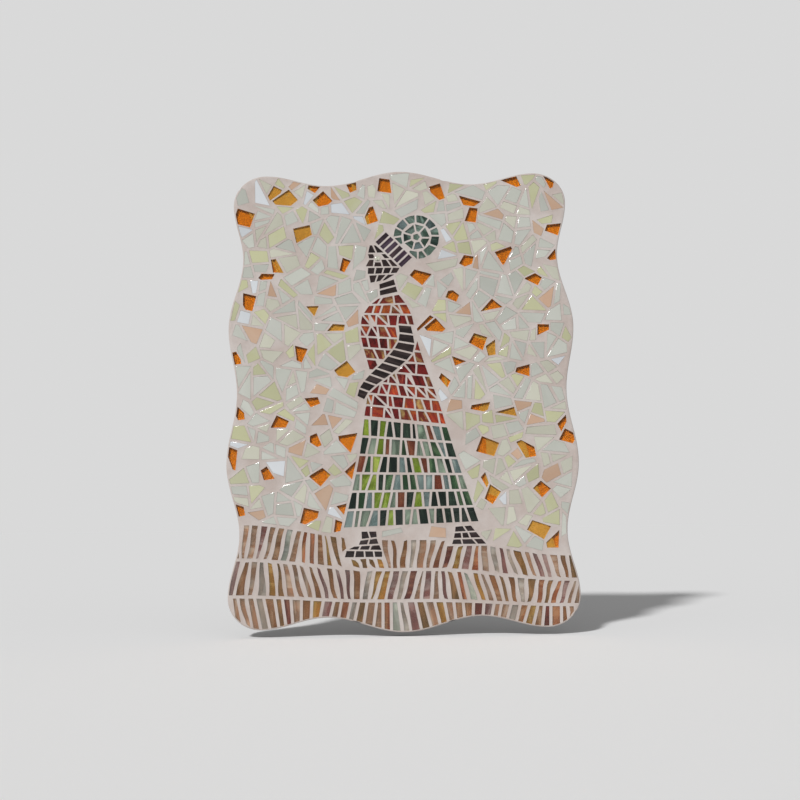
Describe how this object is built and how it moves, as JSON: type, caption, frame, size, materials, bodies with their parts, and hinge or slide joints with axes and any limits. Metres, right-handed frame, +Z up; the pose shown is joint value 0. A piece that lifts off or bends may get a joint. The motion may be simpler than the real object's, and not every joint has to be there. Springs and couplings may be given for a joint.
{
  "type": "mosaic wall panel",
  "caption": "Upright wall panel with a scalloped edge, a board faced with stained-glass mosaic: a walking woman in a headwrap on a pale field dotted with amber, over a strip of brown slivers.",
  "frame": {"origin": "middle of the flat back, where it lies on the wall", "axes": "+X to the viewer's right, +Y into the wall, +Z up; the picture faces -Y"},
  "size_m": [0.515, 0.0234, 0.687],
  "materials": {
    "board": "flat dark brown paint on a sawn board, bare grain on the back",
    "grout": "matt sanded grout, very slightly pink",
    "pale_glass": "opal and cream stained glass, glossy with fine streaks",
    "amber_glass": "clear amber stained glass over white bedding, glossy and rippled",
    "ground_glass": "streaky brown and tan stained glass, glossy",
    "wrap_glass": "grey-green streaky glass, glossy",
    "band_glass": "purple-black glass, glossy",
    "skin_glass": "brown-black glass with a fine ripple, glossy",
    "eye_glass": "grey-blue glass bead",
    "blouse_glass": "red glass with orange streaks, glossy",
    "skirt_glass": "mixed green glass, glossy",
    "shoe_glass": "brown-black glass, glossy"
  },
  "bodies": {
    "root": {"board": "board", "grout": "grout", "ground_slivers": "ground_glass", "headwrap": "wrap_glass", "headband": "band_glass", "face": "skin_glass", "neck": "skin_glass", "arm": "skin_glass", "blouse": "blouse_glass", "skirt": "skirt_glass", "front_shoe": "shoe_glass", "back_shoe": "shoe_glass", "eye": "eye_glass", "amber_01": "amber_glass", "amber_02": "amber_glass", "amber_03": "amber_glass", "amber_04": "amber_glass", "amber_05": "amber_glass", "amber_06": "amber_glass", "amber_07": "amber_glass", "amber_08": "amber_glass", "amber_09": "amber_glass", "amber_10": "amber_glass", "amber_11": "amber_glass", "amber_12": "amber_glass", "amber_13": "amber_glass", "amber_14": "amber_glass", "amber_15": "amber_glass", "amber_16": "amber_glass", "amber_17": "amber_glass", "amber_18": "amber_glass", "amber_19": "amber_glass", "amber_20": "amber_glass", "amber_21": "amber_glass", "amber_22": "amber_glass", "amber_23": "amber_glass", "amber_24": "amber_glass", "amber_25": "amber_glass", "amber_26": "amber_glass", "amber_27": "amber_glass", "amber_28": "amber_glass", "amber_29": "amber_glass", "amber_30": "amber_glass", "amber_31": "amber_glass", "amber_32": "amber_glass", "amber_33": "amber_glass", "amber_34": "amber_glass", "amber_35": "amber_glass", "amber_36": "amber_glass", "amber_37": "amber_glass", "amber_38": "amber_glass", "amber_39": "amber_glass", "amber_40": "amber_glass", "amber_41": "amber_glass", "amber_42": "amber_glass", "amber_43": "amber_glass", "amber_44": "amber_glass", "amber_45": "amber_glass", "amber_46": "amber_glass"}
  },
  "joints": []
}
